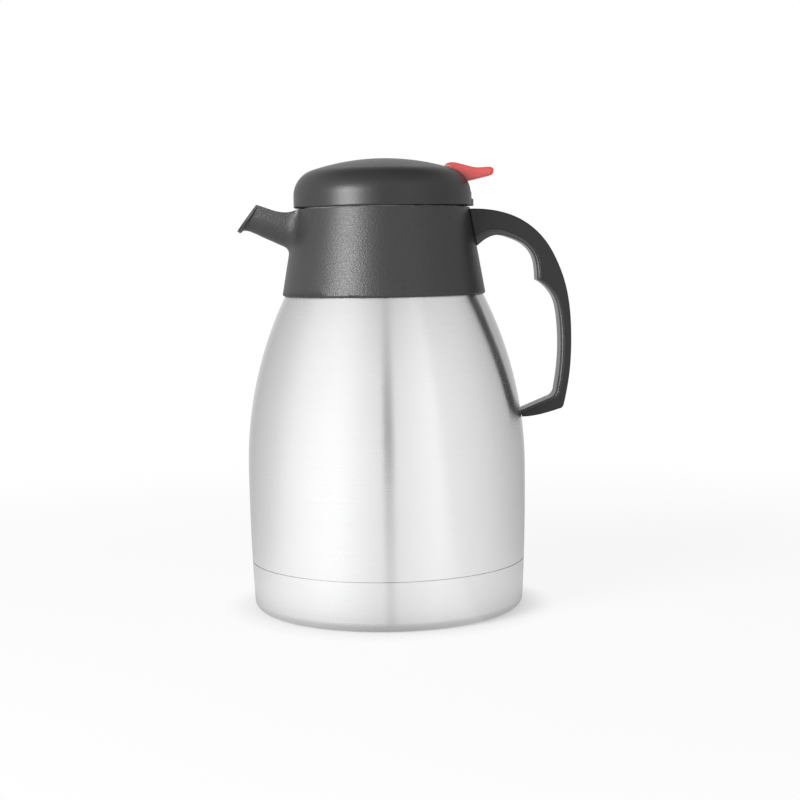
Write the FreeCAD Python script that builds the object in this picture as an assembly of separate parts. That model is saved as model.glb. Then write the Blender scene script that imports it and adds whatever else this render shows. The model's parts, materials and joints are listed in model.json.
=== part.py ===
import FreeCAD, Part
import math
import os

# Thermal jug: vacuum body, collar with spout, handle, and a screw-in stopper with a lever valve.
# Millimetres. +Z is up, +X points to the handle, the spout points to -X.
# The origin is on the jug's axis, on the plane that the foot ring stands on.

V = FreeCAD.Vector
UP = V(0, 0, 1)
ACROSS = V(0, 1, 0)
os.makedirs("parts", exist_ok=True)

# Clearances
SLIP = 0.3              # loose fit, and the gap between pieces that move past each other
SPARE = 10.0            # reach of a cut past the piece that it cuts
RUN = 0.05              # radial running fit of the stem, the pin and the screws
SEAT = 0.1              # gap where one fixed piece rests against another

# Steel vessel
BODY_R = 68.3           # largest outside radius
BELLY_Z = 70.0          # height of that radius
LOWER_BOW = 1200.0      # radius of the slight taper below the belly
SHOULDER_Z = 157.0      # height where the upper arc ends, under the collar
SHOULDER_IN = 2.8       # the arc ends this much inside the collar's lower edge
SHOULDER_CORNER = 8.0   # bend from the arc to the flat shoulder
SHEET = 0.6             # thickness of the steel
VACUUM_GAP = 4.0        # space between shell and liner
SEAM_Z = 24.3           # joint of shell and base cup
SEAM_GAP = 0.3          # width of the joint's fine groove
BASE_CORNER = 5.0       # rounding under the base cup
FOOT_R = 52.0           # inside radius of the foot ring
FOOT_RISE = 3.0         # height of the pressed-in centre
LINER_FLOOR = 10.0      # height of the liner's underside
LINER_CORNER = 14.0     # rounding at the liner's floor
MOUTH_R = 28.5          # inside radius of the neck
NECK_GAP = 1.0          # vacuum gap in the neck
NECK_BEND = 3.0         # bend from the flat shoulder to the neck
NECK_TOP = 168.4        # height of the shell's neck, under the liner's rolled rim
RIM_LAP = 0.6           # reach of the liner's rim past the neck

# Collar, spout and throat
COLLAR_LOW_Z = 154.0    # lower edge of the collar
COLLAR_LOW_R = 49.9     # outside radius there
RIM_Z = 196.2           # upper rim of the collar
RIM_R = 42.5            # outside radius of the rim
COLLAR_WALL = 2.4       # wall of the outer cone
COLLAR_WEB = 2.6        # thickness of the rim and of the well's floor
COLLAR_ROUND = 1.5      # rounding of the collar's lower edge
WELL_R = 33.0           # inside radius of the stopper's well
WELL_WALL = 2.0         # wall of the well
GASKET = 1.2            # thickness of the neck gasket
THROAT_WALL = 3.2       # wall of the throat ring
THROAT_DEPTH = 14.0     # reach of the throat ring into the neck
FLANGE = 2.5            # thickness of the throat ring's flange
SPOUT_ROOT = -34.0      # where the spout's trough starts, inside the collar
SPOUT_ROOT_Z = 171.5    # outside floor of the trough there
SPOUT_RISE = 0.463      # rise of that floor per mm outwards
SPOUT_HALF = 13.5       # half width of the trough at its root
SPOUT_NARROW = 0.106    # narrowing of the half width per mm outwards
SPOUT_WALL = 2.0        # wall of the trough
SPOUT_DRAFT = 0.08      # outward lean of the trough's sides
SPOUT_BLEND = 3.5       # fillet between trough and cone
TROUGH_SPARE = 12.0     # height of the uncut trough above the rim
LIP_FLARE = 3.2         # drop of the rolled lip below the straight floor
MOUTH_TOP = (-61.2, 198.6)
MOUTH_LOW = (-71.4, 185.6)
RIM_DIP = [(-41.5, 196.1), (-48.8, 194.8), (-55.2, 196.5)]

# Handle
HANDLE_HALF = 10.0      # half width
CHANNEL_HALF = 8.0      # half width of the channel for the strip
CHANNEL_DEPTH = 1.4     # depth of that channel
STRIP_ROUND = 1.7       # rounding of the strip's long edges
HANDLE_ROUND = 1.2      # rounding of the handle's back edges
DRAWN_R = 68.3          # body radius that the handle's lines below are drawn at
ROOT_END = 44.5         # up to here the lines stay with the collar
ARCH_X = 75.7           # from here to the root the arch follows the body less and less
ARCH_LOW = 160.0        # below this height the lines follow the body fully
TIP_X = 64.0            # lower tip, in the shell's wall
OUTER_LINE = [(38.0, 195.1), (56.6, 193.8), (64.7, 191.0), (72.8, 185.8), (79.4, 178.6),
              (84.3, 169.8), (88.4, 158.3), (90.7, 144.0), (91.1, 131.0), (90.4, 117.2),
              (88.9, 107.0), (87.1, 98.8)]
LOWER_LINE = [(86.0, 97.5), (78.6, 95.3), (72.6, 94.0), (TIP_X, 93.6)]
ARM_LINE = [(TIP_X, 94.4), (80.4, 101.2)]
ARM_BEND = ((83.4, 103.2), (84.9, 106.7))
GRIP_LINE = [(84.9, 106.7), (86.6, 118.0), (87.2, 131.0), (86.4, 143.0), (84.2, 152.0),
             (80.6, 157.2), (75.7, 160.7)]
ARCH_LINE = [(75.7, 160.7), (75.7, 166.0), (74.2, 173.0), (69.7, 179.0), (62.5, 183.2),
             (56.0, 185.3), (50.0, 184.8), (ROOT_END, 181.2), (38.0, 175.0)]
ARM_CROWN = 0.9         # height of the strip above the lower arm
GRIP_CROWN = 1.1        # height of the strip along the grip
ROOT_CROWN = 3.7        # height of the strip under the root
LUG_OUT = 12.5          # reach of the collar's lug past the rim, inside the handle's root
LUG_HALF = 6.0
LUG_Z = (189.0, 192.2)
SCREW_OUT = (5.0, 10.0)  # the screws' places past the rim
SCREW_R = 1.1
SCREW_HEAD_R = 2.0
SCREW_HEAD = 1.3
SCREW_LENGTH = 4.6
ANCHOR_HALF = 5.0
ANCHOR_SHEET = 0.8
ANCHOR_OUT = 9.7        # reach of the tongue past the body

# Lid and stopper
LID_R = 43.5            # outside radius of the skirt
LID_Z = 196.8           # lower edge of the skirt
LID_TOP = 220.4         # top of the dome
CROWN_BOW = 112.0       # radius of the dome's top
LID_CORNER = 13.0       # rounding from the top to the skirt
LID_WALL = 2.2
LID_EDGE = 0.5          # rounding of the skirt's lower edge
SLOT_HALF = 8.6         # half width of the lever's slot
SLOT_FRONT = 29.7
SLOT_LOW = 203.5
TAB_BOW = 12.0          # radius of the index tab on the skirt
TAB_PROUD = 1.0
TAB_HEIGHT = 3.6
PLUG_WALL = 2.4
PLUG_GAP = 1.9          # room for the threads between plug and well
PLUG_FLOOR = 2.6
STEP_R = 38.4           # step that meets the rim
STEP_GAP = 0.5          # gap between step and rim
FLANGE_LOW = 199.1      # flange inside the skirt
FLANGE_TOP = 201.6
ROOF_LOW = 198.6        # roof of the pouring chamber
SEAT_R = 12.0           # bore of the valve seat
WINDOW_HALF = 12.0      # pouring window in the plug's front
WINDOW_Z = (181.0, 193.0)
GUIDE_R = 6.5           # stem guide
GUIDE_Z = (194.0, 202.6)
SEAL_R = (25.5, 30.8)   # ring under the plug
SEAL_HEIGHT = 1.55
LID_GASKET_R = (34.5, 37.5)
LID_GASKET_HEIGHT = 1.9

# Lever and valve
PIVOT = (25.0, 208.5)
PIN_R = 1.5
HUB_R = 3.6
EAR_HALF = 2.6          # ears that hold the pin
EAR_THICK = 2.8
LEVER_SWING = 9.0       # degrees that the pad goes down
LEVER_HALF = 8.2        # half width in the slot
LEVER_ROUND = 0.9       # rounding of its upper edges
PAD_END = 53.8          # end of the thumb pad
LEVER_LINE = [(30.5, 217.0), (33.3, 217.8), (38.0, 217.0), (41.6, 216.0), (45.4, 215.2),
              (49.5, 215.3), (52.6, 215.3)]
PAD_UNDER = [(PAD_END, 214.4), (PAD_END, 212.6), (52.8, 211.4), (47.0, 210.0)]
LEVER_UNDER = (40.4, 208.5)
APRON = (38.6, 204.6)   # curtain that closes the slot under the lever
TINE = (4.2, 7.4)       # the fork's tines, from inside to outside
NOSE_R = 1.5            # round tip of a tine
CAP_LOW = 206.2         # underside of the cap's flange
CAP_R = 8.0
CAP_FLANGE = 1.5
CAP_HUB_R = 4.2
CAP_TOP = 211.0
LIFT_GAP = 0.15         # gap between the noses and the cap at rest
STEM_R = 3.0
STEM_TOP = 209.5
VALVE_R = 14.0
VALVE_SEAL = 1.8
VALVE_SEAL_R = 15.0
VALVE_DISC = 2.4
VALVE_HUB_R = 5.0
VALVE_HUB = 2.0
STEM_HEAD_R = 5.5
STEM_HEAD = 1.8
GLAND_HEIGHT = 2.4
SPRING_WIRE = 0.9
SPRING_R = 5.4          # mean radius
SPRING_TURNS = 4

# Sizes that follow from these
SHOULDER_DROP = BODY_R - COLLAR_LOW_R + SHOULDER_IN
UPPER_BOW = ((SHOULDER_Z - BELLY_Z) ** 2 + SHOULDER_DROP ** 2) / (2 * SHOULDER_DROP)
LUG_REACH = RIM_R + LUG_OUT
SCREW_X = [RIM_R + out for out in SCREW_OUT]
SPRING_TOP = LID_TOP - LID_WALL - SLIP - SEAT


def section(start, *moves):
    """Face in the X-Z plane: a point draws a line, a pair an arc, a list a smooth curve."""
    edges = []
    here = V(start[0], 0, start[1])
    for move in moves + (start,):
        if isinstance(move, list):
            points = [here] + [V(x, 0, z) for x, z in move]
            curve = Part.BSplineCurve()
            curve.interpolate(points)
            edges.append(curve.toShape())
            here = points[-1]
        elif isinstance(move[0], tuple):
            via, end = [V(x, 0, z) for x, z in move]
            edges.append(Part.Arc(here, via, end).toShape())
            here = end
        else:
            end = V(move[0], 0, move[1])
            if (end - here).Length > 1e-6:
                edges.append(Part.makeLine(here, end))
            here = end
    return Part.Face(Part.Wire(edges))


def on_circle(centre, radius, degrees):
    """Point on a circle in the X-Z plane."""
    turn = math.radians(degrees)
    return (centre[0] + radius * math.cos(turn), centre[1] + radius * math.sin(turn))


def spin(face):
    """Solid of revolution round the jug's axis."""
    return face.revolve(V(0, 0, 0), UP, 360)


def slab(face, half):
    """Flat solid of a side outline, centred on the jug's mid plane."""
    return face.translated(V(0, -half, 0)).extrude(V(0, 2 * half, 0))


def disc(radius, low, high, x=0, y=0):
    """Upright cylinder between two heights."""
    return Part.makeCylinder(radius, high - low, V(x, y, low), UP)


def ring(inner, outer, low, high):
    """Flat ring round the jug's axis."""
    return disc(outer, low, high).cut(disc(inner, low, high))


def box(x0, x1, half, low, high):
    """Block centred on the jug's mid plane."""
    return Part.makeBox(x1 - x0, 2 * half, high - low, V(x0, -half, low))


def rod(radius, half, x, z):
    """Round bar along Y, centred on the mid plane."""
    return Part.makeCylinder(radius, 2 * half, V(x, -half, z), ACROSS)


def edges_where(shape, test):
    """Edges whose middle point passes the test."""
    found = []
    for edge in shape.Edges:
        middle = edge.valueAt((edge.FirstParameter + edge.LastParameter) / 2)
        if test(middle, edge):
            found.append(edge)
    return found


def save(name, shape):
    """Write one node and print what it holds."""
    solids = shape.Solids
    whole = solids[0] if len(solids) == 1 else Part.makeCompound(solids)
    print(name, len(solids), "solid", round(whole.Volume), "mm3", "ok" if whole.isValid() else "BAD")
    whole.exportStep("parts/" + name + ".step")


# Steel vessel

def bow_r(z, depth):
    """Radius of the bowed side at height z, measured depth inside its outer face."""
    bow = UPPER_BOW if z > BELLY_Z else LOWER_BOW
    return BODY_R - bow + math.sqrt((bow - depth) ** 2 - (z - BELLY_Z) ** 2)


def vessel(depth, low, corner, neck_r, bend, high):
    """Filled body, depth inside the outer face, from its floor up to the neck's top."""
    lean = math.degrees(math.asin((SHOULDER_Z - BELLY_Z) / UPPER_BOW))
    centre = on_circle((BODY_R - UPPER_BOW, BELLY_Z), UPPER_BOW - SHOULDER_CORNER, lean)
    round_r = SHOULDER_CORNER - depth
    flat_z = centre[1] + round_r
    bend_centre = (neck_r + bend, flat_z + bend)
    low_mid = (low + BELLY_Z) / 2
    shoulder = on_circle(centre, round_r, lean)
    high_mid = (BELLY_Z + shoulder[1]) / 2
    outline = section(
        (0, low),
        (bow_r(low, depth), low),
        ((bow_r(low_mid, depth), low_mid), (bow_r(BELLY_Z, depth), BELLY_Z)),
        ((bow_r(high_mid, depth), high_mid), shoulder),
        (on_circle(centre, round_r, (lean + 90) / 2), (centre[0], flat_z)),
        (neck_r + bend, flat_z),
        (on_circle(bend_centre, bend, 225), (neck_r, flat_z + bend)),
        (neck_r, high),
        (0, high))
    solid = spin(outline)
    if corner > 0:
        rim = edges_where(solid, lambda p, e: abs(p.z - low) < 0.01 and e.Length > 100)
        solid = solid.makeFillet(corner, rim)
    return solid


def shells():
    """Shell and base cup, split from one steel wall at the seam."""
    neck_r = MOUTH_R + SHEET + NECK_GAP + SHEET
    outside = vessel(0, 0, BASE_CORNER, neck_r, NECK_BEND, NECK_TOP)
    inside = vessel(SHEET, SHEET, BASE_CORNER - SHEET, neck_r - SHEET, NECK_BEND + SHEET, NECK_TOP + 1)
    wall = outside.cut(inside)
    whole = BODY_R + SPARE
    shell = wall.common(disc(whole, SEAM_Z + SEAM_GAP / 2, NECK_TOP + 1))
    cup = wall.common(disc(whole, -1, SEAM_Z - SEAM_GAP / 2))

    # The cup's inner lip bridges the seam
    lip = disc(whole, SEAM_Z - 3, SEAM_Z + 4)
    lip = lip.common(vessel(SHEET + RUN, 1, 0, neck_r, NECK_BEND, NECK_TOP))
    lip = lip.cut(vessel(2 * SHEET + RUN, 1, 0, neck_r - SHEET, NECK_BEND, NECK_TOP))
    bridge = wall.common(disc(whole, SEAM_Z - 3, SEAM_Z - 2))
    bridge = bridge.fuse(vessel(SHEET - RUN, 1, 0, neck_r, NECK_BEND, NECK_TOP).cut(
        vessel(2 * SHEET, 1, 0, neck_r - SHEET, NECK_BEND, NECK_TOP)).common(
        disc(whole, SEAM_Z - 3, SEAM_Z - 1)))
    cup = cup.fuse([lip, bridge])

    # Pressed-in centre inside the foot ring, with the pump-out hole
    cup = cup.cut(disc(FOOT_R - SHEET, 0, SHEET))
    cup = cup.fuse([ring(FOOT_R - SHEET, FOOT_R, 0, FOOT_RISE + SHEET),
                    disc(FOOT_R, FOOT_RISE, FOOT_RISE + SHEET)])
    cup = cup.cut(disc(1.2, FOOT_RISE, FOOT_RISE + SHEET)).removeSplitter()
    return shell, cup


def liner():
    """Deep-drawn liner with a rolled rim over the shell's neck."""
    depth = SHEET + VACUUM_GAP
    outside = vessel(depth, LINER_FLOOR, LINER_CORNER, MOUTH_R + SHEET, NECK_BEND + 1, NECK_TOP)
    inside = vessel(depth + SHEET, LINER_FLOOR + SHEET, LINER_CORNER - SHEET, MOUTH_R,
                    NECK_BEND + 1 + SHEET, NECK_TOP + 1)
    rim_r = MOUTH_R + 2 * SHEET + NECK_GAP + RIM_LAP
    print("room below the neck", round(inside.common(disc(BODY_R, 0, NECK_TOP)).Volume / 1e6, 2), "litre")
    return outside.cut(inside).fuse(ring(MOUTH_R, rim_r, NECK_TOP, NECK_TOP + SHEET)).removeSplitter()


def base_pieces():
    """Getter, solder bead and the cover that protects the bead."""
    getter = disc(8, LINER_FLOOR - 1.5 - RUN, LINER_FLOOR - RUN, x=22)
    bead = disc(4, FOOT_RISE - 1.1, FOOT_RISE).fuse(disc(1.2 - RUN, FOOT_RISE, FOOT_RISE + SHEET))
    cover = disc(FOOT_R - SHEET - SLIP, 0.5, FOOT_RISE - SLIP)
    cover = cover.cut(disc(5, FOOT_RISE - 1.4, FOOT_RISE))
    rim = edges_where(cover, lambda p, e: p.z < 0.6 and e.Length > 200)
    return getter, bead, cover.makeFillet(0.8, rim)


# Collar and throat

FLOOR_Z = NECK_TOP + SHEET + GASKET
FLOOR_TOP = FLOOR_Z + COLLAR_WEB


def cone_r(z):
    """Outside radius of the collar at a height."""
    return COLLAR_LOW_R + (RIM_R - COLLAR_LOW_R) * (z - COLLAR_LOW_Z) / (RIM_Z - COLLAR_LOW_Z)


def cone(depth, top=RIM_Z):
    """Filled cone of the collar, depth inside its outer face, with a rounded lower edge."""
    centre = (COLLAR_LOW_R - depth - COLLAR_ROUND, COLLAR_LOW_Z + COLLAR_ROUND)
    side = cone_r(centre[1]) - depth
    return spin(section(
        (0, COLLAR_LOW_Z),
        (centre[0], COLLAR_LOW_Z),
        (on_circle(centre, COLLAR_ROUND, -45), (side, centre[1])),
        (cone_r(top) - depth, top),
        (0, top)))


def trough(x, flare, wall):
    """U-shaped section of the spout at one x, wall inside its outer face, closed well above the rim."""
    out = SPOUT_ROOT - x
    floor_z = SPOUT_ROOT_Z + SPOUT_RISE * out - flare + 1.1 * wall
    half = SPOUT_HALF - SPOUT_NARROW * out + 0.7 * flare - wall
    side_z = floor_z + half
    top = RIM_Z + TROUGH_SPARE
    wide = half + SPOUT_DRAFT * (top - side_z)
    corners = [V(x, -wide, top), V(x, -half, side_z), V(x, half, side_z), V(x, wide, top)]
    return Part.Wire([
        Part.makeLine(corners[0], corners[1]),
        Part.Arc(corners[1], V(x, 0, floor_z), corners[2]).toShape(),
        Part.makeLine(corners[2], corners[3]),
        Part.makeLine(corners[3], corners[0])])


def spout():
    """Open trough with a rolled lip, and the space that it leaves for the drink."""
    stations = [(SPOUT_ROOT + 4 - 5 * i, 0, 0) for i in range(8)]
    stations += [(-68, 0.3 * LIP_FLARE, 0.03 * LIP_FLARE), (-72, LIP_FLARE, 0.2 * LIP_FLARE)]
    outside = Part.makeLoft([trough(x, flare, 0) for x, flare, _ in stations], True)
    inside = Part.makeLoft([trough(x, inner, SPOUT_WALL) for x, _, inner in stations], True)
    return outside, inside


def collar():
    """Outer cone, stopper well and spout in one moulding, with the lug for the handle."""
    tall = RIM_Z + TROUGH_SPARE
    gutter, drink = spout()
    body = cone(0, tall).fuse(gutter)

    def at_root(p, edge):
        return p.x < SPOUT_ROOT + 2 and p.z < tall - 0.5 and abs(math.hypot(p.x, p.y) - cone_r(p.z)) < 0.2

    body = body.makeFillet(SPOUT_BLEND, edges_where(body, at_root))
    under = COLLAR_LOW_Z - SPARE
    top_line = RIM_DIP[1:] + [MOUTH_TOP]
    far = BODY_R + SPARE
    side = section((far, RIM_Z), RIM_DIP[0], top_line, MOUTH_LOW, (-far, under), (far, under))
    body = body.common(slab(side, BODY_R))

    # The well, the dry space round it, the opening into the spout and the seat on the steel
    well_out = disc(WELL_R + WELL_WALL, FLOOR_Z, RIM_Z)
    hollow = cone(COLLAR_WALL).common(disc(BODY_R, 0, RIM_Z - COLLAR_WEB)).cut(well_out)
    hollow = hollow.cut(gutter)
    body = body.cut([hollow, drink])
    body = body.cut(disc(WELL_R, FLOOR_TOP, RIM_Z + SPARE))
    body = body.cut(disc(WELL_R + WELL_WALL, FLOOR_Z - SPARE, FLOOR_Z))
    body = body.cut(disc(MOUTH_R + SLIP, FLOOR_Z - SPARE, FLOOR_TOP))
    neck_r = MOUTH_R + 2 * SHEET + NECK_GAP
    body = body.cut(vessel(-SEAT, 100, 0, neck_r + 3, NECK_BEND, NECK_TOP - 2))
    lug = box(RIM_R - 2, LUG_REACH, LUG_HALF, LUG_Z[0], LUG_Z[1])
    body = body.fuse(lug)
    for x in SCREW_X:
        body = body.cut(disc(SCREW_R + RUN, LUG_Z[0], LUG_Z[1] - 0.4, x=x))
    return body.removeSplitter()


def throat_pieces():
    """Gasket on the steel rim, and the ring nut that clamps the collar's floor to the neck."""
    gasket = ring(MOUTH_R + SLIP, MOUTH_R + 2 * SHEET + NECK_GAP + RIM_LAP, NECK_TOP + SHEET, FLOOR_Z)
    outer = MOUTH_R - SLIP
    nut = ring(outer - THROAT_WALL, outer, FLOOR_TOP - THROAT_DEPTH, FLOOR_TOP + FLANGE)
    nut = nut.fuse(ring(outer - THROAT_WALL, WELL_R - 2 * SLIP, FLOOR_TOP, FLOOR_TOP + FLANGE))
    return gasket, nut.removeSplitter()


# Handle

def follow(points):
    """Handle points carried along with the body's radius, the arch's less and less to the root."""
    moved = []
    for x, z in points:
        share = min(1, max(0, (x - ROOT_END) / (ARCH_X - ROOT_END))) if z > ARCH_LOW else 1
        moved.append((x + share * (BODY_R - DRAWN_R), z))
    return moved


OUTER = follow(OUTER_LINE)
LOWER = follow(LOWER_LINE)
ARM = follow(ARM_LINE)
BEND = follow(ARM_BEND)
GRIP = follow(GRIP_LINE)
ARCH = follow(ARCH_LINE)


def body_grown(gap):
    """Filled steel body with a gap added all round."""
    return vessel(-gap, 40, 0, MOUTH_R + 5, NECK_BEND, NECK_TOP)


def shifted(points, amounts):
    """Points of an open line moved to its left by the given amounts."""
    moved = []
    for i, (x, z) in enumerate(points):
        before = points[max(i - 1, 0)]
        after = points[min(i + 1, len(points) - 1)]
        length = math.dist(before, after)
        across = (before[1] - after[1]) / length
        along = (after[0] - before[0]) / length
        moved.append((x + across * amounts[i], z + along * amounts[i]))
    return moved


def inner_line(arm_rise, grip_rise, root_rise):
    """The handle's inner edge from the lower tip to the root, raised towards the hand."""
    arm = shifted(ARM, [arm_rise] * 2)
    bend = shifted([ARM[1], BEND[0], BEND[1]], [arm_rise, arm_rise, grip_rise])
    grip = shifted(GRIP, [grip_rise] * len(GRIP))
    last = len(ARCH) - 1
    ease = [min(1, i / (last - 2)) ** 2 for i in range(last + 1)]
    arch = shifted(ARCH, [grip_rise + (root_rise - grip_rise) * e for e in ease])
    cusp = ((grip[-1][0] + arch[0][0]) / 2, (grip[-1][1] + arch[0][1]) / 2)
    return arm[0], arm[1], (bend[1], grip[0]), grip[1:-1] + [cusp], arch[1:]


def anchor(spare):
    """Steel tongue on a small welded foot; it lies in the channel under the strip."""
    low = shifted(ARM, [SEAT - spare - CHANNEL_DEPTH] * 2)
    top = shifted(ARM, [SEAT + spare + ANCHOR_SHEET - CHANNEL_DEPTH] * 2)
    half = ANCHOR_HALF + spare
    tongue = slab(section(low[0], low[1], top[1], top[0]), half)
    tongue = tongue.common(box(BODY_R - SPARE, BODY_R + ANCHOR_OUT + spare, half, 0, RIM_Z))
    foot_z = ARM[0][1] + 0.7
    foot = body_grown(ANCHOR_SHEET + RUN + spare)
    foot = foot.common(box(BODY_R - SPARE, BODY_R + SPARE, half, foot_z - 0.9 - spare, foot_z + 0.9 + spare))
    return tongue.fuse(foot).cut(body_grown(RUN)).removeSplitter()


def handle():
    """Outer channel, crowned strip and screws; the strip hides the screws and the tongue."""
    outline = section(*inner_line(0, 0, 0), OUTER[0], OUTER[1:], LOWER[0], LOWER[1:])
    shell = slab(outline, HANDLE_HALF)
    reach = max(x for x, z in OUTER) - 1
    back = edges_where(shell, lambda p, e: abs(abs(p.y) - HANDLE_HALF) < 0.01 and e.BoundBox.XMax > reach)
    shell = shell.makeFillet(HANDLE_ROUND, back)

    # Channel, back and crown of the strip are the inner edge, lowered or raised
    far = [(20, 172), (20, 94.5)]
    channel = slab(section(*inner_line(*[-CHANNEL_DEPTH] * 3), *far), CHANNEL_HALF)
    back_face = section(*inner_line(*[SEAT - CHANNEL_DEPTH] * 3), *far)
    hand = slab(section(*inner_line(ARM_CROWN, GRIP_CROWN, ROOT_CROWN), *far), CHANNEL_HALF)
    shell = shell.cut(channel)
    half = CHANNEL_HALF - SEAT
    strip = slab(back_face, half).cut(hand)

    def on_crown(p, edge):
        above = Part.Vertex(p.x, 0, p.z).distToShape(back_face.OuterWire)[0]
        return abs(abs(p.y) - half) < 0.01 and above > 1 and edge.Length > 3

    strip = strip.makeFillet(STRIP_ROUND, edges_where(strip, on_crown))

    # Socket for the collar's lug, seats for the screw heads, and room for the tongue
    socket = box(RIM_R - 4, LUG_REACH + SLIP, LUG_HALF + SLIP, LUG_Z[0] - SLIP, LUG_Z[1] + SLIP)
    shell = shell.cut([cone(-SEAT), body_grown(SLIP), socket, anchor(SEAT)])
    strip = strip.cut([cone(-SLIP), body_grown(SLIP), anchor(SEAT)])
    head_z = LUG_Z[0] - SLIP - 1.8
    screws = []
    for x in SCREW_X:
        shell = shell.cut([disc(SCREW_R + RUN, head_z - 1, LUG_Z[0], x=x),
                           disc(SCREW_HEAD_R + SLIP, head_z - 4, head_z, x=x)])
        strip = strip.cut(disc(SCREW_HEAD_R + SLIP, head_z - SCREW_HEAD - SLIP, head_z + 4, x=x))
        head = disc(SCREW_HEAD_R, head_z - SCREW_HEAD, head_z, x=x)
        screws.append(head.fuse(disc(SCREW_R, head_z, head_z + SCREW_LENGTH, x=x)))
    return shell.removeSplitter(), strip.removeSplitter(), anchor(0), Part.makeCompound(screws)


# Lid and stopper

THROAT_TOP = FLOOR_TOP + FLANGE
PLUG_LOW = THROAT_TOP + SEAT + SEAL_HEIGHT + RUN
PLUG_R = WELL_R - PLUG_GAP
STEP_LOW = RIM_Z + STEP_GAP
LID_INSIDE = LID_R - LID_WALL


def dome(depth, low):
    """Filled dome, depth inside its outer face, down to a flat underside."""
    bow_z = LID_TOP - CROWN_BOW
    corner_x = LID_R - LID_CORNER
    corner = (corner_x, bow_z + math.sqrt((CROWN_BOW - LID_CORNER) ** 2 - corner_x ** 2))
    lean = math.degrees(math.atan2(corner[1] - bow_z, corner_x))
    return spin(section(
        (0, low),
        (LID_R - depth, low),
        (LID_R - depth, corner[1]),
        (on_circle(corner, LID_CORNER - depth, lean / 2), on_circle(corner, LID_CORNER - depth, lean)),
        (on_circle((0, bow_z), CROWN_BOW - depth, (lean + 90) / 2), (0, LID_TOP - depth))))


def lid_dome():
    """Domed cover with the lever's slot, the index tab, a snap ridge and the spring's seat."""
    outside = dome(0, LID_Z)
    edge = edges_where(outside, lambda p, e: abs(p.z - LID_Z) < 0.01 and e.Length > 100)
    cover = outside.makeFillet(LID_EDGE, edge).cut(dome(LID_WALL, LID_Z - 1))
    ridge = ring(LID_INSIDE - 0.7, LID_INSIDE + 0.1, FLANGE_LOW - 1, FLANGE_LOW - SEAT)
    spring_out = SPRING_R + SPRING_WIRE / 2 + SLIP
    seat = ring(spring_out, spring_out + 1.6, SPRING_TOP - 2.6, LID_TOP).common(dome(LID_WALL / 2, LID_Z))
    tab = disc(TAB_BOW, LID_Z, LID_Z + TAB_HEIGHT, x=LID_R + TAB_PROUD - TAB_BOW)
    tab = tab.makeFillet(TAB_PROUD * 0.8, edges_where(tab, lambda p, e: p.z > LID_Z + TAB_HEIGHT - 0.01))
    tab = tab.cut(dome(LID_WALL / 2, LID_Z - 1))
    cover = cover.fuse([ridge, seat, tab])
    slot = box(SLOT_FRONT, LID_R + 5, SLOT_HALF, SLOT_LOW, LID_TOP + 5)
    return cover.cut(slot).removeSplitter()


def stopper():
    """Plug with the pouring chamber, valve seat, stem guide, flange and the lever's ears."""
    body = disc(PLUG_R, PLUG_LOW, STEP_LOW)
    body = body.fuse([disc(STEP_R, STEP_LOW, FLANGE_LOW), disc(LID_INSIDE - SLIP, FLANGE_LOW, FLANGE_TOP)])
    floor_top = PLUG_LOW + PLUG_FLOOR
    body = body.cut([disc(PLUG_R - PLUG_WALL, floor_top, ROOF_LOW), disc(SEAT_R, PLUG_LOW, floor_top)])
    body = body.fuse(disc(GUIDE_R, GUIDE_Z[0], GUIDE_Z[1]))
    body = body.cut(disc(STEM_R + RUN, GUIDE_Z[0], GUIDE_Z[1]))
    body = body.cut(box(-PLUG_R - 2, -PLUG_R / 2, WINDOW_HALF, WINDOW_Z[0], WINDOW_Z[1]))
    groove_top = RIM_Z + SEAT + LID_GASKET_HEIGHT
    body = body.cut(ring(LID_GASKET_R[0], LID_GASKET_R[1], STEP_LOW, groove_top))
    x, z = PIVOT
    for near in (TINE[1] + SLIP, -TINE[1] - SLIP - EAR_THICK):
        foot = V(x - EAR_HALF, near, FLANGE_TOP - SLIP)
        post = Part.makeBox(2 * EAR_HALF, EAR_THICK, z - foot.z, foot)
        eye = Part.makeCylinder(EAR_HALF, EAR_THICK, V(x, near, z), ACROSS)
        body = body.fuse([post, eye])
    return body.cut(rod(PIN_R + RUN, 20, x, z)).removeSplitter()


def seals():
    """Ring under the plug, gasket on the rim, and the gland round the stem."""
    under = ring(SEAL_R[0], SEAL_R[1], THROAT_TOP + SEAT, THROAT_TOP + SEAT + SEAL_HEIGHT)
    low = RIM_Z + SEAT
    rim = ring(LID_GASKET_R[0] + RUN, LID_GASKET_R[1] - RUN, low, low + LID_GASKET_HEIGHT - RUN)
    gland = ring(STEM_R + RUN, GUIDE_R - 0.5, GUIDE_Z[0] - GLAND_HEIGHT, GUIDE_Z[0])
    return under, rim, gland


# Lever and valve

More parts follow.
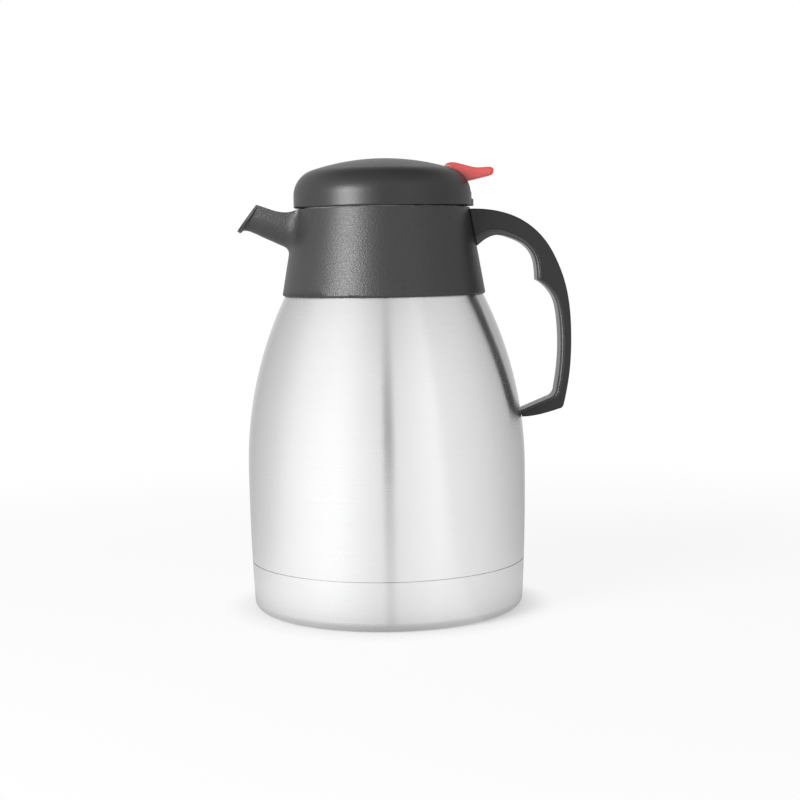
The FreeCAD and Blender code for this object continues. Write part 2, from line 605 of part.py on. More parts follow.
def lever():
    """Rocker: a thumb pad outside the dome, a hub on the pin and a fork under the stem's cap."""
    x, z = PIVOT
    front = LEVER_LINE[0]
    side = section(
        (front[0], front[1] - 2.6),
        front,
        LEVER_LINE[1:],
        *PAD_UNDER,
        LEVER_UNDER,
        (LEVER_UNDER[0], APRON[1]),
        APRON,
        (APRON[0], LEVER_UNDER[1] - 1.8),
        (x + 1, z - HUB_R + 0.2),
        (x, z + HUB_R - 0.2),
        (front[0] - 1.4, z + HUB_R))
    pad = slab(side, LEVER_HALF)
    nose = edges_where(pad, lambda p, e: abs(p.y) < 0.01 and math.dist((p.x, p.z), front) < 0.01)
    pad = pad.makeFillet(LEVER_ROUND, nose)

    def on_rim(p, edge):
        return abs(p.y) > LEVER_HALF - 0.01 and edge.BoundBox.ZMax > front[1] and edge.Length > 20

    pad = pad.makeFillet(LEVER_ROUND, edges_where(pad, on_rim))

    # Two tines reach past the stem and end in round noses on the valve's axis
    hub = rod(HUB_R, TINE[1], x, z)
    top_z = CAP_LOW - LIFT_GAP
    low_z = top_z - 2 * NOSE_R
    tine = section(
        (0, top_z),
        (CAP_R + 1.5, top_z),
        (x - 1.2, z + HUB_R - 0.3),
        (x - 1.2, z - HUB_R + 0.3),
        (CAP_R + 1.5, low_z),
        (0, low_z),
        ((-NOSE_R, top_z - NOSE_R), (0, top_z)))
    fork = slab(tine, TINE[1]).cut(box(-5, x - HUB_R - 1, TINE[0], 190, 230))
    past_ear = x + EAR_HALF + SLIP + HUB_R * math.sin(math.radians(LEVER_SWING))
    beside_ear = box(x - 8, past_ear, 20, 190, LID_TOP).cut(box(0, 60, TINE[1], 190, LID_TOP))
    waist = pad.cut(beside_ear)
    return waist.fuse([hub, fork]).cut(rod(PIN_R + RUN, 30, x, z)).removeSplitter()


def valve():
    """Stem with its cap, and the disc with its silicone washer on the seat."""
    seal_low = PLUG_LOW + PLUG_FLOOR + SEAT
    seal_top = seal_low + VALVE_SEAL
    disc_top = seal_top + VALVE_DISC
    head_low = seal_low - STEM_HEAD
    stem = disc(STEM_R, head_low, STEM_TOP).fuse(disc(STEM_HEAD_R, head_low, seal_low))
    bore = STEM_R + RUN
    washer = ring(bore, VALVE_SEAL_R, seal_low, seal_top)
    hub = ring(bore, VALVE_HUB_R, disc_top, disc_top + VALVE_HUB)
    plate = ring(bore, VALVE_R, seal_top, disc_top).fuse(hub)
    cap = disc(CAP_R, CAP_LOW, CAP_LOW + CAP_FLANGE).fuse(disc(CAP_HUB_R, CAP_LOW, CAP_TOP))
    cap = cap.cut(disc(bore, CAP_LOW, STEM_TOP + RUN))
    return stem.removeSplitter(), cap.removeSplitter(), plate.removeSplitter(), washer


def spring():
    """Compression spring: one wire through half turns, with short straight ends."""
    low = CAP_LOW + CAP_FLANGE + SEAT + SPRING_WIRE / 2
    high = SPRING_TOP - SPRING_WIRE / 2
    pitch = (high - low) / SPRING_TURNS

    def at(turns):
        angle = 2 * math.pi * turns
        return V(SPRING_R * math.cos(angle), SPRING_R * math.sin(angle), low + pitch * turns)

    lead = V(0, 2 * math.pi * SPRING_R, pitch)
    lead = lead * (SPRING_WIRE / lead.Length)
    edges = [Part.makeLine(at(0) - lead, at(0))]
    for half in range(2 * SPRING_TURNS):
        edges.append(Part.Arc(at(half / 2), at(half / 2 + 0.25), at(half / 2 + 0.5)).toShape())
    edges.append(Part.makeLine(at(SPRING_TURNS), at(SPRING_TURNS) + lead))
    points = [at(i / 24) for i in range(24 * SPRING_TURNS + 1)]
    gap = min((p - q).Length for i, p in enumerate(points) for q in points[i + 12:])
    print("spring, least gap between turns", round(gap - SPRING_WIRE, 2), "mm")
    wire = Part.Wire(Part.makeCircle(SPRING_WIRE / 2, at(0) - lead, lead))
    return Part.Wire(edges).makePipeShell([wire], True, False)


shell, cup = shells()
save("outer_shell", shell)
save("base_cup", cup)
save("inner_liner", liner())
for name, piece in zip(("getter", "vacuum_seal", "base_cover"), base_pieces()):
    save(name, piece)
for name, piece in zip(("neck_gasket", "throat_ring"), throat_pieces()):
    save(name, piece)
save("collar", collar())
for name, piece in zip(("handle_shell", "handle_insert", "handle_anchor", "handle_screws"), handle()):
    save(name, piece)
save("lid_dome", lid_dome())
save("stopper_body", stopper())
for name, piece in zip(("stopper_seal", "lid_gasket", "stem_seal"), seals()):
    save(name, piece)
save("thumb_lever", lever())
save("lever_pin", rod(PIN_R, TINE[1] + SLIP + EAR_THICK + 0.4, PIVOT[0], PIVOT[1]))
for name, piece in zip(("valve_stem", "stem_cap", "valve_disc", "valve_seal"), valve()):
    save(name, piece)
save("valve_spring", spring())
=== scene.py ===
# %% [markdown]
# A vacuum jug in brushed steel and black plastic, with a red lever on its screw-in stopper.
# The imported frame brings every solid piece at its real place and size, so this lesson is about light,
# finishes and the fine detail that the solids leave out: the stopper's thread, a coil for the valve's
# spring, and the rolled lip of the spout.

# %% Load the imported jug
import json
import math

import bpy
from mathutils import Matrix, Vector


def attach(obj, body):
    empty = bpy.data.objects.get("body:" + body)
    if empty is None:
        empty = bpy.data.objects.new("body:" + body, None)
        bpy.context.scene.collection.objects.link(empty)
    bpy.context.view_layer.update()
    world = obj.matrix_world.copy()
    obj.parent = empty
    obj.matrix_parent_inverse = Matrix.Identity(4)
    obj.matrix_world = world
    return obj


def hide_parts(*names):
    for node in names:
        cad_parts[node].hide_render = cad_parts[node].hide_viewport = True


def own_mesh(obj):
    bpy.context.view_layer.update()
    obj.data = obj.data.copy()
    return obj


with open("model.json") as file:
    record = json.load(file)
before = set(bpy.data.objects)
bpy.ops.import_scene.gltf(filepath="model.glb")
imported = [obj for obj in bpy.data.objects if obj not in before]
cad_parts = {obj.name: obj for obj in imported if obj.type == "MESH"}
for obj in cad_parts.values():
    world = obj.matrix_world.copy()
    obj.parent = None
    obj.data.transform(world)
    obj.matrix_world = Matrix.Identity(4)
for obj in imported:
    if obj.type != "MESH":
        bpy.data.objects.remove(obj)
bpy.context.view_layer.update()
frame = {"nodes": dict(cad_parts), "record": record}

nodes = frame["nodes"]
scene = bpy.context.scene
print("pieces in the frame:", len(nodes))

# %% [markdown]
# The camera stands where the photographer's stood. A fit of the round edges gave its distance,
# height and tilt. A long lens far away would flatten the ellipses of the seam and the collar, so
# the distance matters more than the lens. The picture is also turned by a degree, which is a roll.

# %% Camera
JUG_TO_LENS = 0.796
LENS_HEIGHT = 0.1763
LENS_ASIDE = 0.007
LENS_MM = 72.7
SENSOR_MM = 36.0
BEARING = math.radians(-2.0)
LOOK_DOWN = math.radians(5.34)
ROLL = math.radians(-0.9)

camera_data = bpy.data.cameras.new("photo_camera")
camera_data.sensor_width = SENSOR_MM
camera_data.lens = LENS_MM
camera = bpy.data.objects.new("photo_camera", camera_data)
scene.collection.objects.link(camera)
across = Vector((math.cos(BEARING), math.sin(BEARING), 0))
away = Vector((-math.sin(BEARING), math.cos(BEARING), 0))
camera.location = across * LENS_ASIDE - away * JUG_TO_LENS + Vector((0, 0, LENS_HEIGHT))
facing = Matrix.Rotation(BEARING, 4, "Z") @ Matrix.Rotation(math.pi / 2 - LOOK_DOWN, 4, "X")
camera.rotation_euler = (facing @ Matrix.Rotation(ROLL, 4, "Z")).to_euler()
scene.camera = camera
print("camera at", [round(c, 3) for c in camera.location])

# %% [markdown]
# Materials and the world are node trees. Writing each node in four lines would hide the idea, so
# one helper makes a node, sets its options and fills its inputs: a socket is linked, and a plain
# value is typed in. Three more stand for the nodes that come back most: arithmetic, a soft step from
# one level to another, and a colour that changes by a mask.

# %% Node helpers
def node(tree, kind, inputs=None, **options):
    made = tree.nodes.new(kind)
    for name, value in options.items():
        setattr(made, name, value)
    for key, value in (inputs or {}).items():
        socket = made.inputs[key]
        if isinstance(value, bpy.types.NodeSocket):
            tree.links.new(value, socket)
        else:
            socket.default_value = value
    return made


def sums(tree, operation, *values):
    """A Math node's result."""
    return node(tree, "ShaderNodeMath", dict(enumerate(values)), operation=operation).outputs[0]


def smooth(tree, value, span, at_low, at_high):
    """A soft step: one level below the span, the other above it."""
    low, high = span
    inputs = {"Value": value, "From Min": low, "From Max": high, "To Min": at_low, "To Max": at_high}
    return node(tree, "ShaderNodeMapRange", inputs, interpolation_type="SMOOTHSTEP").outputs["Result"]


def tint(tree, mask, one, two):
    """A colour that turns from one to the other as the mask rises."""
    mix = node(tree, "ShaderNodeMix", data_type="RGBA")
    tree.links.new(mask, mix.inputs[0])
    mix.inputs[6].default_value = (*one, 1)
    mix.inputs[7].default_value = (*two, 1)
    return mix.outputs[2]


# %% [markdown]
# Steel shows what stands round it. In the studio the jug stands in a white tent that is brighter on
# the left, falls off to the right and has a dark slit for the lens. Real panels could be modelled, but
# brushed steel smears them into upright bands, so a row of levels by bearing says all that it shows.

# %% Tent by bearing
TENT = [  # bearing from the lens in degrees, to the right is positive, and brightness
    (-180, 0.8), (-147, 0.62), (-108, 0.9), (-83, 1.22), (-62, 1.37), (-48, 1.41), (-36, 1.38),
    (-25, 1.26), (-8, 1.11), (8, 1.11), (25, 1.22), (41, 1.31), (44, 1.14), (62, 1.06),
    (83, 0.94), (108, 0.75), (147, 0.5), (180, 0.8)]
SLIT_HALF = (0.035, 0.1)  # half the slit's width in radians: dark up to the first, gone at the second
SLIT_DARK = 1.0


def tent_level(tree, direction):
    """The tent's brightness in a direction, how deep that bearing lies in the slit, and its Z."""
    split = node(tree, "ShaderNodeSeparateXYZ", {0: direction})
    to_lens = sums(tree, "MULTIPLY", split.outputs["Y"], -1.0)
    bearing = sums(tree, "ARCTAN2", split.outputs["X"], to_lens)
    share = sums(tree, "MULTIPLY_ADD", bearing, 0.5 / math.pi, 0.5)
    ramp = node(tree, "ShaderNodeValToRGB", {0: share})
    stops = ramp.color_ramp.elements
    while len(stops) < len(TENT):
        stops.new(0.5)
    for stop, (degrees, level) in zip(stops, TENT):
        stop.position = degrees / 360 + 0.5
        stop.color = (level, level, level, 1)
    slit = smooth(tree, sums(tree, "ABSOLUTE", bearing), SLIT_HALF, SLIT_DARK, 0.0)
    return ramp.outputs["Color"], slit, split.outputs["Z"]


print("tent levels:", len(TENT))

# %% [markdown]
# The world wears the tent for glossy rays only. Camera and transmission rays see plain white, which is
# the background of the picture, and all other rays see an even soft level. The tent's roof is dimmer
# than its walls, and the slit is only as tall as the opening for the lens.

# %% World
AMBIENT = 0.42
ROOF = (0.58, 0.95)  # sine of the height over the horizon, where the roof begins and where it is full
ROOF_LEVEL = 0.4
LENS_SINE = 0.12
SLIT_TALL = (0.08, 0.42)

world = bpy.data.worlds.new("studio_tent")
scene.world = world
world.use_nodes = True
world.cycles.sampling_method = "NONE"
tree = world.node_tree
tree.nodes.clear()
level, slit, sine = tent_level(tree, node(tree, "ShaderNodeTexCoord").outputs["Generated"])
roof = smooth(tree, sine, ROOF, 1.0, ROOF_LEVEL)
off_lens = sums(tree, "ABSOLUTE", sums(tree, "ADD", sine, -LENS_SINE))
lens = sums(tree, "MULTIPLY", slit, smooth(tree, off_lens, SLIT_TALL, 1.0, 0.0))
dimmed = sums(tree, "MULTIPLY", roof, sums(tree, "SUBTRACT", 1.0, lens))
even = node(tree, "ShaderNodeBackground", {"Color": (1, 1, 1, 1), "Strength": AMBIENT}).outputs[0]
tent = node(tree, "ShaderNodeBackground", {"Color": level, "Strength": dimmed}).outputs[0]
white = node(tree, "ShaderNodeBackground", {"Color": (1, 1, 1, 1), "Strength": 1.0}).outputs[0]
path = node(tree, "ShaderNodeLightPath").outputs
unseen = node(tree, "ShaderNodeMixShader", {0: path["Is Glossy Ray"], 1: even, 2: tent}).outputs[0]
seen = sums(tree, "MAXIMUM", path["Is Camera Ray"], path["Is Transmission Ray"])
mixed = node(tree, "ShaderNodeMixShader", {0: seen, 1: unseen, 2: white}).outputs[0]
node(tree, "ShaderNodeOutputWorld", {0: mixed})
print("world nodes:", len(tree.nodes))

# %% [markdown]
# One tall soft lamp on the left makes the broad highlight on the collar and the dome. On brushed steel
# it would burn a hard white stripe, so a flag keeps it off the shell and the base cup, as a black card
# does in a studio, and the tent alone draws the steel. Light linking is that flag. A weaker, wider lamp
# from the right opens the shadows and makes no highlight.

# %% Lamps
AIM_HEIGHT = 0.14


def soft_lamp(name, bearing, distance, height, size, watts):
    data = bpy.data.lights.new(name, "AREA")
    data.shape = "RECTANGLE"
    data.size, data.size_y = size
    data.energy = watts
    lamp = bpy.data.objects.new(name, data)
    scene.collection.objects.link(lamp)
    turn = math.radians(bearing)
    lamp.location = (distance * math.sin(turn), -distance * math.cos(turn), height)
    aim = Vector((0, 0, AIM_HEIGHT)) - lamp.location
    lamp.rotation_euler = aim.to_track_quat("-Z", "Y").to_euler()
    return lamp


key_lamp = soft_lamp("key_lamp", bearing=-46, distance=1.2, height=0.30, size=(0.56, 0.82), watts=22)
fill_lamp = soft_lamp("fill_lamp", bearing=42, distance=1.6, height=0.5, size=(0.9, 0.9), watts=4)
fill_lamp.visible_glossy = False
flagged = bpy.data.collections.new("flagged_from_key")
key_lamp.light_linking.receiver_collection = flagged
for name in ("outer_shell", "base_cup"):
    flagged.objects.link(nodes[name])
for entry in flagged.collection_objects:
    entry.light_linking.link_state = "EXCLUDE"

# %% [markdown]
# The floor is a pale sheet that runs out of the picture. It is not a part of the jug. One large plane is
# enough, because nothing of its edge is ever seen.

# %% Floor sheet
FLOOR_SIZE = 8.0

bpy.ops.object.select_all(action="DESELECT")
bpy.ops.mesh.primitive_plane_add(size=FLOOR_SIZE, location=(0, 0, 0))
floor = bpy.context.object
floor.name = "floor"
print("floor sheet:", FLOOR_SIZE, "m square")

# %% [markdown]
# The paper looks different to each kind of ray. To the lens it is mostly plain white, but a part of its own
# shading stays, which keeps its real contact shadow. Close to the foot less white is mixed in, which also
# paints a darker ring of shade there. To the steel it shows a painted reflection: the tent's levels are
# painted on the paper as a glow, with painted shade close to the foot and a painted dark strip where the
# lens slit falls. To diffuse rays it is a mid grey, so that it doesn't throw too much light up at the jug.

# %% Floor paper
PAPER = (0.93, 0.93, 0.93)
PAPER_BOUNCE = (0.5, 0.5, 0.5)
CONTACT = (0.06, 0.085)  # distances from the jug's axis in metres, here and in the next spans
CONTACT_WHITE = 0.4
FADE = (0.2, 0.6)
FLOOR_WHITE = 0.87
# Spans and levels of the paint that glossy rays see on the paper: painted shade close to the foot, and the
# painted dark strip of the lens slit further out.
PAINTED_SHADE_SPAN = (0.066, 0.1)
PAINTED_FOOT_SHADE = 0.5
PAINTED_SLIT_FROM = (0.42, 1.0)

paper = bpy.data.materials.new("floor_paper")
paper.use_nodes = True
tree = paper.node_tree
tree.nodes.clear()
path = node(tree, "ShaderNodeLightPath").outputs
spot = node(tree, "ShaderNodeTexCoord").outputs["Object"]
far = node(tree, "ShaderNodeVectorMath", {0: spot}, operation="LENGTH").outputs["Value"]
bounce = tint(tree, path["Is Diffuse Ray"], PAPER, PAPER_BOUNCE)
matt = node(tree, "ShaderNodeBsdfDiffuse", {"Color": bounce}).outputs[0]
glow = node(tree, "ShaderNodeEmission", {"Color": (1, 1, 1, 1), "Strength": 1.0}).outputs[0]
# Close to the foot less white is mixed in. The paper's real shadow shows more there, and the smaller white
# share also paints a darker ring of shade round the foot.
contact = smooth(tree, far, CONTACT, CONTACT_WHITE, 1.0)
whitened = sums(tree, "MULTIPLY", contact, smooth(tree, far, FADE, FLOOR_WHITE, 1.0))
share = sums(tree, "MULTIPLY", path["Is Camera Ray"], whitened)
seen = node(tree, "ShaderNodeMixShader", {0: share, 1: matt, 2: glow}).outputs[0]
# Glossy rays see a painted reflection. The tent's levels are painted on the paper as a glow, with a painted
# dark strip where the lens slit falls and painted shade close to the foot.
level, slit, _ = tent_level(tree, spot)
lens = sums(tree, "MULTIPLY", slit, smooth(tree, far, PAINTED_SLIT_FROM, 0.0, 1.0))
foot = smooth(tree, far, PAINTED_SHADE_SPAN, PAINTED_FOOT_SHADE, 1.0)
dimmed = sums(tree, "MULTIPLY", foot, sums(tree, "SUBTRACT", 1.0, lens))
shine = node(tree, "ShaderNodeEmission", {"Color": level, "Strength": dimmed}).outputs[0]
mixed = node(tree, "ShaderNodeMixShader", {0: path["Is Glossy Ray"], 1: seen, 2: shine}).outputs[0]
node(tree, "ShaderNodeOutputMaterial", {0: mixed})
floor.data.materials.append(paper)
print("floor paper nodes:", len(tree.nodes))

# %% [markdown]
# Three effects come back in many finishes, so each is a node group with its own inputs. The first two
# are the fine grain of a spark-eroded mould, which is noise with small round pits, and the soft smudges
# of handling. They could be painted, but noise in the piece's own coordinates has no seam.

# %% Grain and smudges
SMUDGE_SPAN = (0.38, 0.68)
PIT_SHARE = 0.6


def group(name, inputs, outputs):
    """An empty shader group with float sockets, and its two ends."""
    made = bpy.data.node_groups.new(name, "ShaderNodeTree")
    for label, value in inputs.items():
        socket = made.interface.new_socket(label, in_out="INPUT", socket_type="NodeSocketFloat")
        socket.default_value = value
    for label in outputs:
        made.interface.new_socket(label, in_out="OUTPUT", socket_type="NodeSocketFloat")
    return made, made.nodes.new("NodeGroupInput"), made.nodes.new("NodeGroupOutput")


def place(tree):
    return node(tree, "ShaderNodeTexCoord").outputs["Object"]


def noise(tree, vector, scale, detail, rough):
    inputs = {"Vector": vector, "Scale": scale, "Detail": detail, "Roughness": rough}
    return node(tree, "ShaderNodeTexNoise", inputs).outputs["Fac"]


mould_grain, start, end = group("mould_grain", {"Scale": 2600.0}, ["Height", "Speckle"])
scale = start.outputs["Scale"]
spots = noise(mould_grain, place(mould_grain), scale, detail=3.0, rough=0.6)
pits = node(mould_grain, "ShaderNodeTexVoronoi", {"Vector": place(mould_grain), "Scale": scale})
height = sums(mould_grain, "MULTIPLY_ADD", pits.outputs["Distance"], PIT_SHARE, spots)
mould_grain.links.new(height, end.inputs["Height"])
mould_grain.links.new(spots, end.inputs["Speckle"])

smudges, start, end = group("smudges", {"Scale": 28.0}, ["Mask"])
clouds = noise(smudges, place(smudges), start.outputs["Scale"], detail=4.0, rough=0.55)
low, high = SMUDGE_SPAN
mask = node(smudges, "ShaderNodeMapRange", {"Value": clouds, "From Min": low, "From Max": high})
smudges.links.new(mask.outputs["Result"], end.inputs["Mask"])
print("shared effects:", [g.name for g in bpy.data.node_groups])

# %% [markdown]
# The third effect is the hairlines of brushed metal. They run round the jug, so the noise is squeezed
# up and down and drawn out along the floor's two directions. Fine lines carry most of it, and a coarser
# set keeps it from looking printed.

# %% Hairlines
LINE_SIZES = {"Fine": 3600.0, "Coarse": 900.0, "Length": 18.0}
FINE_SHARE = 0.75

hairlines, start, end = group("hairlines", LINE_SIZES, ["Height", "Streak"])
split = node(hairlines, "ShaderNodeSeparateXYZ", {0: place(hairlines)})


def stretched(up_scale, length_scale):
    x = sums(hairlines, "MULTIPLY", split.outputs["X"], length_scale)
    y = sums(hairlines, "MULTIPLY", split.outputs["Y"], length_scale)
    z = sums(hairlines, "MULTIPLY", split.outputs["Z"], up_scale)
    return node(hairlines, "ShaderNodeCombineXYZ", {0: x, 1: y, 2: z}).outputs[0]


length = start.outputs["Length"]
fine = noise(hairlines, stretched(start.outputs["Fine"], length), 1.0, detail=2.0, rough=0.6)
coarse = noise(hairlines, stretched(start.outputs["Coarse"], length), 1.0, detail=3.0, rough=0.6)
rest = sums(hairlines, "MULTIPLY", coarse, 1 - FINE_SHARE)
streak = sums(hairlines, "MULTIPLY_ADD", fine, FINE_SHARE, rest)
hairlines.links.new(fine, end.inputs["Height"])
hairlines.links.new(streak, end.inputs["Streak"])
print("shared effects:", [g.name for g in bpy.data.node_groups])

# %% [markdown]
# Every finish starts from the same bench: an empty tree with a Principled shader and its output, kept
# under the name of its slot. A mask becomes a roughness by a Map Range node in the material itself. A
# Bevel node can round the edges in the shading, which costs no faces and leaves the solid as it is.

# %% Finish helpers
EDGE_SAMPLES = 6

finishes = {}


def finish(name):
    made = bpy.data.materials.new(name)
    made.use_nodes = True
    tree = made.node_tree
    tree.nodes.clear()
    shader = node(tree, "ShaderNodeBsdfPrincipled")
    node(tree, "ShaderNodeOutputMaterial", {0: shader.outputs[0]})
    finishes[name] = made
    return tree, shader.inputs


def effect(tree, shared, **values):
    made = node(tree, "ShaderNodeGroup", node_tree=shared)
    for name, value in values.items():
        made.inputs[name].default_value = value
    return made.outputs


def spread(tree, mask, low, high):
    inputs = {"Value": mask, "To Min": low, "To Max": high}
    return node(tree, "ShaderNodeMapRange", inputs).outputs["Result"]


def bumped(tree, height, strength, distance, edge=None):
    """A bumped normal. The edge is the radius of rounded edges, as a number or a socket."""
    inputs = {"Height": height, "Strength": strength, "Distance": distance}
    if edge is not None:
        rounded = node(tree, "ShaderNodeBevel", {"Radius": edge}, samples=EDGE_SAMPLES)
        inputs["Normal"] = rounded.outputs["Normal"]
    return node(tree, "ShaderNodeBump", inputs).outputs["Normal"]


# %% [markdown]
# The shell is brushed round its axis. The scratches scatter light up and down much more than
# sideways, so lamps become tall vertical bands. Anisotropy with an upright tangent gives that, and
# the hairline group adds the scratches themselves. The liner is only drawn, so its lines are coarser.

# %% Brushed steel
STREAK_LIGHT = 1.02
STREAK_DARK = 0.972
STREAK_ROUGH = 0.022
STEEL_SMUDGE = 16.0
SMUDGE_ROUGH = 0.025
SCRATCH_STRENGTH = 0.04
SCRATCH_DEPTH = 0.00005


def brushed(name, colour, rough, **lines):
    tree, shader = finish(name)
    marks = effect(tree, hairlines, **lines)
    worn = effect(tree, smudges, Scale=STEEL_SMUDGE)["Mask"]
    light = tuple(c * STREAK_LIGHT for c in colour)
    dark = tuple(c * STREAK_DARK for c in colour)
    tree.links.new(tint(tree, marks["Streak"], dark, light), shader["Base Color"])
    grain = spread(tree, marks["Streak"], rough + STREAK_ROUGH, rough - STREAK_ROUGH)
    tree.links.new(sums(tree, "MULTIPLY_ADD", worn, SMUDGE_ROUGH, grain), shader["Roughness"])
    scratched = bumped(tree, marks["Height"], SCRATCH_STRENGTH, SCRATCH_DEPTH)
    tree.links.new(scratched, shader["Normal"])
    shader["Metallic"].default_value = 1.0
    shader["Anisotropic"].default_value = 1.0
    upright = node(tree, "ShaderNodeCombineXYZ", {"Z": 1.0}).outputs[0]
    tree.links.new(upright, shader["Tangent"])


brushed("brushed_shell", (0.76, 0.76, 0.765), rough=0.27)
brushed("drawn_liner", (0.70, 0.70, 0.71), rough=0.30, Fine=1500.0, Coarse=400.0, Length=60.0)
print("finishes so far:", list(finishes))

# %% [markdown]
# The plastics share one recipe: polypropylene with a grain that breaks up the highlight into fine
# speckle. Fleck is how much paler the grain's tops are, and shine is how strongly they reflect. A worn
# place is a little smoother. A moulded edge is never sharp, so each has a small radius in the shading.

# %% Moulded plastic
GRAIN_DEPTH = 0.00012
PLASTIC_SMUDGE = 34.0
WORN_SMOOTH = -0.04
FLECK_LIFT = 0.002
SMALL_EDGE = 0.0006


def moulded(name, colour, rough, grain, speckle=0.05, coat=0.0, shine=0.48, fleck=1.25, edge=SMALL_EDGE):
    """A plastic with a grain of (scale, strength). The edge is a radius, or a function that makes one."""
    tree, shader = finish(name)
    scale, strength = grain
    pitted = effect(tree, mould_grain, Scale=scale)
    worn = effect(tree, smudges, Scale=PLASTIC_SMUDGE)["Mask"]
    lifted = tuple(c * fleck + FLECK_LIFT for c in colour)
    tree.links.new(tint(tree, pitted["Speckle"], colour, lifted), shader["Base Color"])
    base = spread(tree, pitted["Speckle"], rough + speckle, rough - speckle)
    tree.links.new(sums(tree, "MULTIPLY_ADD", worn, WORN_SMOOTH, base), shader["Roughness"])
    radius = edge(tree) if callable(edge) else edge
    grained = bumped(tree, pitted["Height"], strength, GRAIN_DEPTH, radius)
    tree.links.new(grained, shader["Normal"])
    shader["Coat Weight"].default_value = coat
    shader["Specular IOR Level"].default_value = shine


# %% [markdown]
# The collar's spout grows out of the cone in a wide sweep. The solid has a tighter fillet there, which
# would catch the lamp as a bright line. A wide Bevel radius softens it, but at the rim it would bleed
# over the edge, so the radius itself is masked to the spout's root.

# %% Collar
ROOT_SOFT = 0.006
UNDER_RIM = (0.1915, 0.1955)
BEHIND_LIP = (-0.058, -0.052)
BEFORE_AXIS = (-0.032, -0.026)


def spout_root(tree):
    """Edge radius: wide in the fillet where the spout leaves the cone, nought elsewhere."""
    split = node(tree, "ShaderNodeSeparateXYZ", {0: place(tree)})
    under_rim = smooth(tree, split.outputs["Z"], UNDER_RIM, ROOT_SOFT, 0.0)
    behind_lip = smooth(tree, split.outputs["X"], BEHIND_LIP, 0.0, 1.0)
    before_axis = smooth(tree, split.outputs["X"], BEFORE_AXIS, 1.0, 0.0)
    return sums(tree, "MULTIPLY", under_rim, sums(tree, "MULTIPLY", behind_lip, before_axis))


moulded("collar_plastic", (0.008, 0.008, 0.0082), rough=0.39, grain=(1350.0, 0.74), speckle=0.16,
        shine=0.5, fleck=3.6, edge=spout_root)
print("finishes so far:", list(finishes))

# %% [markdown]
# The other plastics differ in grain and gloss. The dome's mould is finer than the collar's, the handle
# is worn softer, its strip is paler and smoother, and the lever is polished red. The stopper and
# the silicone rings only show when the lid is off.

# %% Other plastics
moulded("handle_plastic", (0.008, 0.008, 0.0085), rough=0.42, grain=(1500.0, 0.30), shine=0.40, edge=0.0014)
moulded("strip_plastic", (0.042, 0.042, 0.043), rough=0.36, grain=(2000.0, 0.08), coat=0.15)
moulded("dome_plastic", (0.008, 0.008, 0.0082), rough=0.35, grain=(1600.0, 0.45), speckle=0.13,
        shine=0.42, fleck=3.2)
moulded("lever_red", (0.60, 0.077, 0.070), rough=0.18, grain=(2600.0, 0.04), speckle=0.03,
        coat=0.5, edge=0.0035)
moulded("inner_plastic", (0.050, 0.050, 0.052), rough=0.45, grain=(2600.0, 0.15))
moulded("silicone", (0.70, 0.70, 0.68), rough=0.50, grain=(1800.0, 0.06))
print("finishes so far:", list(finishes))

# %% [markdown]
# The small metal pieces are hidden in use, but some come out with the stopper. Wire and pin are
# bright, and the getter is dull and granular. Both take the mould grain as their fine roughness,
# because lines as on the shell would be too large for a wire of a millimetre.

# %% Small metal
METAL_SMUDGE = 120.0
DULLED = 0.86
GRAIN_ROUGH = 0.05
GRAIN_STRENGTH = 0.05


def small_metal(name, colour, rough, scale):
    tree, shader = finish(name)
    grain = effect(tree, mould_grain, Scale=scale)
    worn = effect(tree, smudges, Scale=METAL_SMUDGE)["Mask"]
    dull = tuple(c * DULLED for c in colour)
    tree.links.new(tint(tree, worn, colour, dull), shader["Base Color"])
    uneven = spread(tree, grain["Speckle"], rough + GRAIN_ROUGH, rough - GRAIN_ROUGH)
    tree.links.new(uneven, shader["Roughness"])
    grained = bumped(tree, grain["Height"], GRAIN_STRENGTH, SCRATCH_DEPTH)
    tree.links.new(grained, shader["Normal"])
    shader["Metallic"].default_value = 1.0


small_metal("small_steel", (0.72, 0.72, 0.73), rough=0.18, scale=4000.0)
small_metal("getter_metal", (0.55, 0.55, 0.56), rough=0.48, scale=1500.0)
print("finishes so far:", list(finishes))

# %% [markdown]
# The record says which finish each solid piece has. Reading it from there, and not from a list in this
# script, keeps the two from drifting apart.

# %% Finishes on the nodes
for row in frame["record"]["subparts"]:
    mesh = nodes[row["node"]].data
    mesh.materials.clear()
    mesh.materials.append(finishes[row["material_slot"]])

# %% [markdown]
# New pieces are shaped as by hand, in edit mode, where an operator acts on what is selected. Two helpers
# do the switching: one runs an operator in edit mode, and the other selects corners by their place.

# %% Edit-mode helpers
def edit(piece, operator, **values):
    """One edit-mode operator on what is selected."""
    bpy.context.view_layer.objects.active = piece
    bpy.ops.object.mode_set(mode="EDIT")
    operator(**values)
    bpy.ops.object.mode_set(mode="OBJECT")


def pick(piece, wanted):
    """Select the corners that the test wants, and nothing else."""
    edit(piece, bpy.ops.mesh.select_all, action="DESELECT")
    for corner in piece.data.vertices:
        corner.select = wanted(corner.co)


# %% [markdown]
# The stopper screws in by a two-start thread, which the solid model leaves out. Each ridge is a small
# trapezium swept up a 10 mm lead, so two and a half turns free the lid. A real mould makes ridge and
# plug in one piece. A curve with a bevel would give a round cord, so a flat profile is swept by a
# Screw modifier instead, which turns and lifts it at once.

# %% Thread profile and sweep
LEAD = 0.010
RIDGE = 0.0018
CREST_SHARE = 0.6
DEGREES_PER_STEP = 4


def sweep(piece, turn, rise, steps, rounds=1):
    """Turn a profile about Z while it rises, close the two ends and point the faces outwards."""
    edit(piece, bpy.ops.mesh.delete, type="ONLY_FACE")
    screw = piece.modifiers.new("sweep", "SCREW")
    screw.angle = turn
    screw.screw_offset = rise
    screw.iterations = rounds
    screw.steps = screw.render_steps = steps
    bpy.ops.object.modifier_apply(modifier="sweep")
    edit(piece, bpy.ops.mesh.select_all, action="SELECT")
    edit(piece, bpy.ops.mesh.fill_holes, sides=0)
    edit(piece, bpy.ops.mesh.normals_make_consistent, inside=False)


